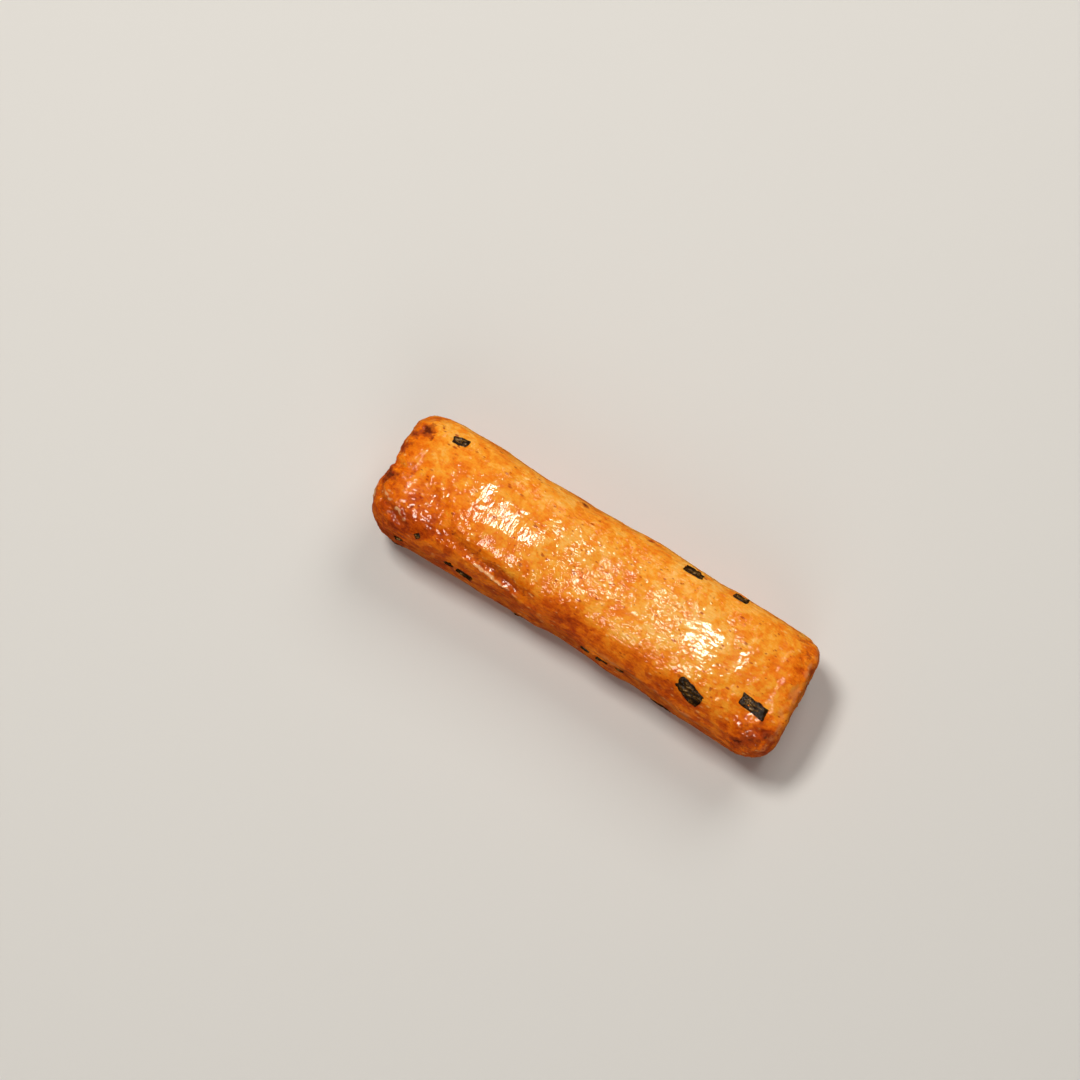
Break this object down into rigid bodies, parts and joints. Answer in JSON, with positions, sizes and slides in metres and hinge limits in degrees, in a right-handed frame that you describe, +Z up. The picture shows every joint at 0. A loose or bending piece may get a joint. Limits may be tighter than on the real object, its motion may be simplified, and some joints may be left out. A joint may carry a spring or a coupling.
{
  "type": "rice cracker",
  "caption": "Stick-shaped baked rice cracker with swollen sides, softly rounded corners, soy glaze and seaweed flakes.",
  "frame": {"origin": "middle of the underside the stick lies on", "axes": "+X along the stick, +Y across it, +Z up from the side it lies on"},
  "size_m": [0.05, 0.0146, 0.0109],
  "materials": {
    "glazed_rice": "baked rice dough under a shiny soy glaze",
    "nori": "crinkled dried seaweed, near black"
  },
  "bodies": {
    "root": {"cracker": "glazed_rice"}
  },
  "joints": []
}
